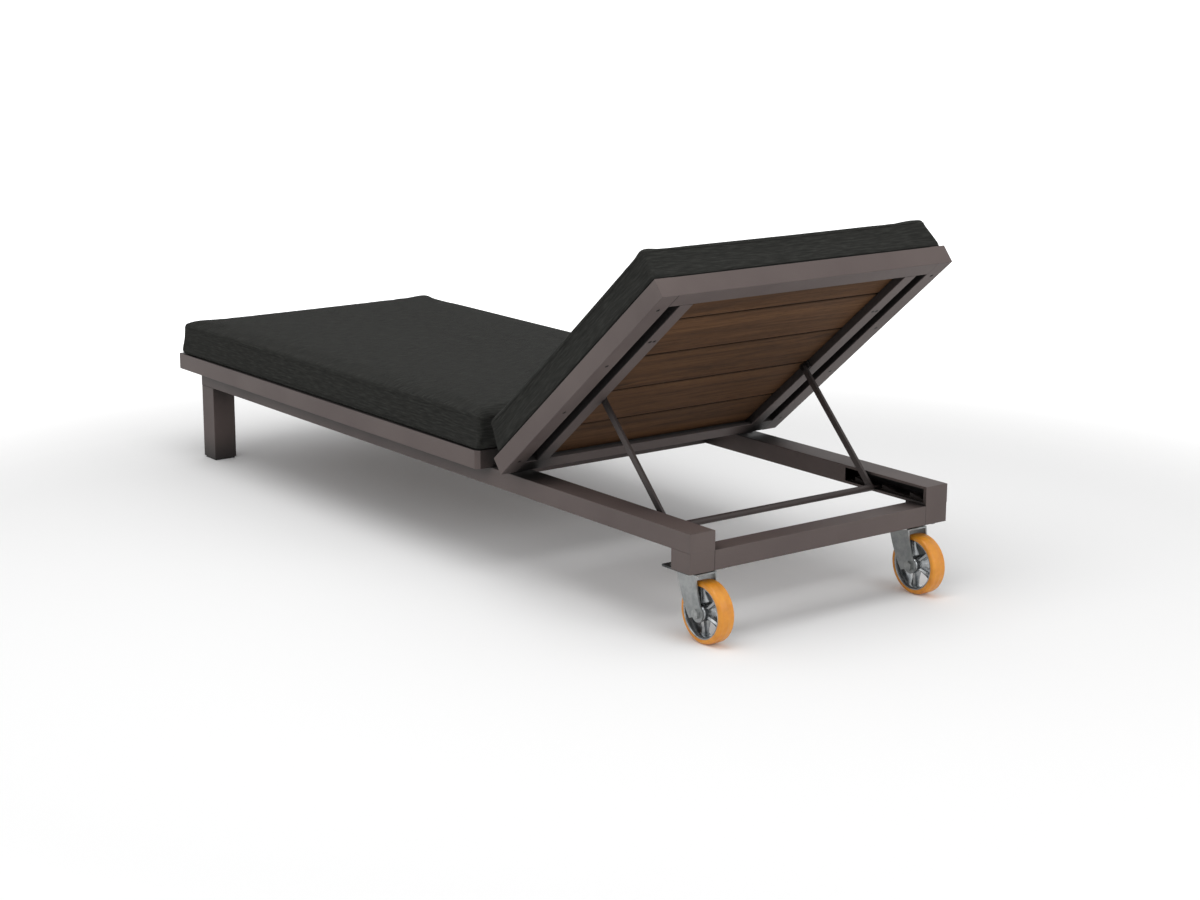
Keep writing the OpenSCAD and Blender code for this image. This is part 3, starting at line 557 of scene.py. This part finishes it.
# Cover the pad with even small faces that follow its own shape
def remeshPad(piece, voxel):
    pattern = bpy.data.objects.new(piece.name + "Pattern", piece.data.copy())
    scene.collection.objects.link(pattern)
    remesh = piece.modifiers.new("remesh", "REMESH")
    remesh.mode = "VOXEL"
    remesh.voxel_size = voxel
    remesh.adaptivity = 0
    relax = piece.modifiers.new("relax", "SMOOTH")
    relax.factor = padding["relaxFactor"]
    relax.iterations = padding["relaxTurns"]
    cling = piece.modifiers.new("cling", "SHRINKWRAP")
    cling.target = pattern
    applyModifiers(piece)
    bpy.data.objects.remove(pattern)


# Swell the pad under pressure while its underside is held on the frame
def inflate(piece, spec, low):
    held = piece.vertex_groups.new(name="held")
    heldTop = low.z + padding["heldHeight"]
    held.add([v.index for v in piece.data.vertices if v.co.z < heldTop], 1.0, "REPLACE")
    start = [v.co.copy() for v in piece.data.vertices]
    cloth = piece.modifiers.new("swell", "CLOTH")
    for key, value in padding["cloth"].items():
        setattr(cloth.settings, key, value)
    cloth.settings.use_pressure = True
    cloth.settings.uniform_pressure_force = spec["pressure"]
    cloth.settings.vertex_group_mass = "held"
    cloth.settings.effector_weights.gravity = 0
    cloth.collision_settings.use_collision = False
    for number in range(1, padding["frames"] + 1):
        scene.frame_set(number)
    applyModifiers(piece)
    scene.frame_set(1)
    for vertex, was in zip(piece.data.vertices, start):
        move = vertex.co - was
        if move.length > spec["cap"]:
            vertex.co = was + move.normalized() * spec["cap"]


# Keep the swollen pad inside its solid's sides and above its underside
def keepInRoom(mesh, low, high):
    for vertex in mesh.vertices:
        vertex.co.x = max(low.x, min(high.x, vertex.co.x))
        vertex.co.y = max(low.y, min(high.y, vertex.co.y))
        vertex.co.z = max(low.z, vertex.co.z)


# Lay the weave on each face in real metres, from the side that the face looks to
def boxMap(mesh):
    layer = mesh.uv_layers.new(name="clothUV")
    for face in mesh.polygons:
        n = face.normal
        for index in face.loop_indices:
            p = mesh.vertices[mesh.loops[index].vertex_index].co
            if abs(n.z) > max(abs(n.x), abs(n.y)):
                layer.data[index].uv = (p.x, p.y)
            elif abs(n.x) > abs(n.y):
                layer.data[index].uv = (p.y, p.z)
            else:
                layer.data[index].uv = (p.x, p.z)


# A closed ring swept with a round section
def sweepRing(path, radius, sides):
    made = bmesh.new()
    angles = [2 * math.pi * k / sides for k in range(sides)]
    rings = []
    for i, point in enumerate(path):
        ahead = (path[(i + 1) % len(path)] - path[i - 1]).normalized()
        side = ahead.cross(Vector((0, 0, 1))).normalized()
        up = side.cross(ahead).normalized()
        rings.append([made.verts.new(point + (side * math.cos(a) + up * math.sin(a)) * radius)
                      for a in angles])
    closeRings(made, rings)
    return toMesh(made, "ring")


# A rectangle with round corners, as points an even step apart
def roundedRectangle(spanX, spanY, corner):
    ring = []
    for cx, cy, first in ((1, 1, 0), (-1, 1, 90), (-1, -1, 180), (1, -1, 270)):
        for turn in range(0, 91, seam["cornerTurn"]):
            a = math.radians(first + turn)
            ring.append(Vector((cx * spanX + corner * math.cos(a),
                                cy * spanY + corner * math.sin(a), 0)))
    dense = []
    for i, p in enumerate(ring):
        q = ring[(i + 1) % len(ring)]
        steps = max(1, round((q - p).length / seam["step"]))
        dense += [p.lerp(q, s / steps) for s in range(steps)]
    return dense


# The seam runs where rays, aimed inwards and along the edge's slope, meet the cover
def seamPath(cover, low, high, top):
    middle, half = (low + high) / 2, (high - low) / 2
    spanX, spanY = half.x - seam["corner"], half.y - seam["corner"]
    path = []
    for p in roundedRectangle(spanX, spanY, seam["corner"]):
        nearX, nearY = max(-spanX, min(spanX, p.x)), max(-spanY, min(spanY, p.y))
        out = Vector((p.x - nearX, p.y - nearY, 0)).normalized()
        slope = (out + Vector((0, 0, 1 if top else -1))).normalized()
        aim = Vector((middle.x + p.x, middle.y + p.y, 0)) - out * seam["inset"]
        aim.z = high.z - seam["underTop"] if top else low.z + seam["overBase"]
        hit = cover.ray_cast(aim + slope * seam["rayLength"], -slope)[0]
        if hit is not None:
            path.append(hit + slope * (seam["radius"] - seam["sink"]))
    for turn in range(seam["softenings"]):
        path = [(path[i - 1] + path[i] * 2 + path[(i + 1) % len(path)]) / 4
                for i in range(len(path))]
    return path


def makeCushion(name, spec):
    mesh = frame["nodes"][spec["node"]].data.copy()
    mesh.transform(spec["frame"].inverted())
    low, high = meshBox(mesh)
    shrinkPad(mesh, low, high, spec["shrink"])
    piece = addPiece(name, mesh, "cushion_fabric")
    remeshPad(piece, spec["voxel"])
    inflate(piece, spec, low)
    keepInRoom(piece.data, low, high)
    finer = piece.modifiers.new("finer", "SUBSURF")
    finer.levels = finer.render_levels = 1
    applyModifiers(piece)
    boxMap(piece.data)
    smoothFaces(piece.data)
    piece.data.materials.clear()
    piece.data.materials.append(finishes["cushion_fabric"])
    print("lounger:", name, len(piece.data.vertices), "vertices")

    cover = BVHTree.FromPolygons([v.co for v in piece.data.vertices],
                                 [f.vertices for f in piece.data.polygons])
    for label, top in (("UpperSeam", True), ("LowerSeam", False)):
        path = seamPath(cover, low, high, top)
        ring = sweepRing(path, seam["radius"], seam["sides"])
        piping = addPiece(name + label, ring, "cushion_fabric")
        boxMap(piping.data)
        piping.data.transform(spec["frame"])
        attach(piping, spec["body"])
    piece.data.transform(spec["frame"])
    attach(piece, spec["body"])
    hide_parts(spec["node"])


for cushionName, cushion in cushions.items():
    makeCushion(cushionName, cushion)
print("lounger: cushions made")

# Outlines are rows of (radius, place across) in metres, and spokes are cast in sections of
# (radius, half width, half depth), each of one shape given as shares of its depth and width
wheel = {
    "steps": 128,
    "tyre": {
        "radius": 0.0625,
        "width": 0.036,
        "bore": 0.0526,
        "shoulder": 0.0070,
        "shoulderSteps": 8,
        "parting": ((0.0, 0.0008), (0.00015, 0.0003), (0.00015, -0.0003), (0.0, -0.0008)),
        "sharpFrom": 50,
    },
    "rim": ((0.0525, -0.0177), (0.0525, 0.0177), (0.0503, 0.0177), (0.0495, 0.0169),
            (0.0476, 0.0102), (0.0470, 0.0), (0.0476, -0.0102), (0.0495, -0.0169),
            (0.0503, -0.0177)),
    "hub": ((0.0130, -0.0220), (0.0152, -0.0220), (0.0162, -0.0202), (0.0170, -0.0180),
            (0.0176, 0.0), (0.0170, 0.0180), (0.0162, 0.0202), (0.0152, 0.0220),
            (0.0130, 0.0220)),
    "hubSteps": 96,
    "spokes": 5,
    "spokeTurn": 45.0,
    "spoke": ((0.013, 0.0045, 0.0150), (0.021, 0.0042, 0.0120), (0.034, 0.0056, 0.0085),
              (0.0485, 0.0092, 0.0070)),
    "spokeShape": ((1, 0), (0.72, 0.75), (0.25, 1), (-0.25, 1), (-0.72, 0.75),
                   (-1, 0), (-0.72, -0.75), (-0.25, -1), (0.25, -1), (0.72, -0.75)),
    "centreSharpFrom": 30,
}


# Revolve a closed outline round the axle
def lathe(outline, steps):
    made = bmesh.new()
    angles = [2 * math.pi * i / steps for i in range(steps)]
    closeRings(made, [[made.verts.new((x, r * math.cos(a), r * math.sin(a)))
                       for r, x in outline] for a in angles])
    return made


# Tyre with round shoulders, a flat tread and the parting line of its mould
def tyreMesh(tyre):
    half, edge, r = tyre["width"] / 2, tyre["shoulder"], tyre["radius"]
    steps = tyre["shoulderSteps"]
    quarter = [math.radians(90 * k / steps) for k in range(steps + 1)]
    outline = [(tyre["bore"], -half), (tyre["bore"], half)]
    outline += [(r - edge + edge * math.cos(a), half - edge + edge * math.sin(a))
                for a in reversed(quarter)]
    outline += [(r + proud, x) for proud, x in tyre["parting"]]
    outline += [(r - edge + edge * math.cos(a), -half + edge - edge * math.sin(a))
                for a in quarter]
    mesh = toMesh(lathe(outline, wheel["steps"]), "tyre")
    mesh.set_sharp_from_angle(angle=math.radians(tyre["sharpFrom"]))
    return mesh


# One cast spoke: wide and thin at the rim, narrow and deep at the hub
def addSpoke(made, angle):
    turn = Matrix.Rotation(math.radians(angle), 4, "X")
    rings = [[made.verts.new(turn @ Vector((deep * x, r, wide * y)))
              for x, y in wheel["spokeShape"]] for r, wide, deep in wheel["spoke"]]
    for first, second in zip(rings, rings[1:]):
        bridge(made, first, second)
    made.faces.new(rings[0])
    made.faces.new(rings[-1])


def wheelCentreMesh():
    made = lathe(wheel["rim"], wheel["steps"])
    hub = toMesh(lathe(wheel["hub"], wheel["hubSteps"]), "hubPart")
    made.from_mesh(hub)
    for k in range(wheel["spokes"]):
        addSpoke(made, wheel["spokeTurn"] + 360 / wheel["spokes"] * k)
    bmesh.ops.recalc_face_normals(made, faces=made.faces)
    mesh = toMesh(made, "wheelCentre")
    mesh.set_sharp_from_angle(angle=math.radians(wheel["centreSharpFrom"]))
    return mesh


for side in ("left", "right"):
    axle = jointPlace["wheel_roll_" + side]
    tyre = addPiece("tyre" + side.capitalize(), tyreMesh(wheel["tyre"]), "tyre")
    tyre.data.transform(Matrix.Translation(axle))
    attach(tyre, "wheel_" + side)
    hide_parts("tyre_" + side)
    centre = addPiece("wheelCentre" + side.capitalize(), wheelCentreMesh(), "wheel_centre")
    centre.data.transform(Matrix.Translation(axle))
    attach(centre, "wheel_" + side)
    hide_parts("hub_" + side)
print("lounger: wheels made")

studio = {
    "floorTone": (0.90, 0.90, 0.90, 1),
    "floorRoughness": 0.9,
    "floorSpecular": 0.1,
    "floorReach": 30.0,
    "floorMiddle": (-0.25, -0.55, 0),
    "floorLift": (0.03, 0.9),  # glow near the lounger and far from it
    "floorLiftFrom": (1.5, 3.6),  # metres from floorMiddle
    "world": 0.62,
    "backdrop": 1.0,
    "lamps": (
        {"name": "overhead", "place": (0.9, 0.8, 3.6), "aim": (0, 0, 0.2), "size": 3.2,
         "power": 58},
        {"name": "headEnd", "place": (-0.6, 4.7, 2.2), "aim": (0, 0.7, 0.4), "size": 2.4,
         "power": 38},
        {"name": "nearSide", "place": (4.2, 0.6, 1.8), "aim": (0, 0, 0.3), "size": 2.4,
         "power": 13},
    ),
}
white = (1, 1, 1, 1)


# A pale floor that fades to the backdrop's white away from the lounger
def paleFloor():
    tree = newMaterial("paleFloor")
    tree.set(Base_Color=studio["floorTone"], Roughness=studio["floorRoughness"],
             Specular_IOR_Level=studio["floorSpecular"])
    place = tree.add("TexCoord").outputs["Object"]
    place = tree.add("Mapping", Vector=place, Location=studio["floorMiddle"]).outputs["Vector"]
    away = tree.add("VectorMath", {"operation": "LENGTH"}, at0=place).outputs["Value"]
    (near, far), (least, most) = studio["floorLiftFrom"], studio["floorLift"]
    lift = tree.add("MapRange", {"interpolation_type": "SMOOTHSTEP"}, Value=away,
                    From_Min=near, From_Max=far, To_Min=least, To_Max=most).outputs["Result"]
    strength = tree.calculate("MULTIPLY", tree.lookedAt(), lift)
    glow = tree.add("Emission", Color=white, Strength=strength).outputs[0]
    both = tree.add("AddShader", at0=tree.shader.outputs[0], at1=glow).outputs[0]
    tree.feed(tree.nodes["Material Output"], {"Surface": both})
    return tree.owner


def layFloor(reach):
    mesh = bpy.data.meshes.new("floor")
    corners = [(-reach, -reach, 0), (reach, -reach, 0), (reach, reach, 0), (-reach, reach, 0)]
    mesh.from_pydata(corners, [], [(0, 1, 2, 3)])
    mesh.materials.append(paleFloor())
    floor = bpy.data.objects.new("floor", mesh)
    scene.collection.objects.link(floor)


def hangLamp(lamp):
    data = bpy.data.lights.new(lamp["name"], "AREA")
    data.shape = "DISK"
    data.size = lamp["size"]
    data.energy = lamp["power"]
    light = bpy.data.objects.new(lamp["name"], data)
    light.location = lamp["place"]
    aim = Vector(lamp["aim"]) - Vector(lamp["place"])
    light.rotation_euler = aim.to_track_quat("-Z", "Y").to_euler()
    scene.collection.objects.link(light)


layFloor(studio["floorReach"])
for lamp in studio["lamps"]:
    hangLamp(lamp)

# The world lights the lounger softly, and shows white where it is looked at
scene.world = bpy.data.worlds.new("studioWorld")
sky = Tree(scene.world, "Background")
sky.set(Color=white, Strength=sky.spread(sky.lookedAt(), studio["world"], studio["backdrop"]))
print("lounger: studio made")
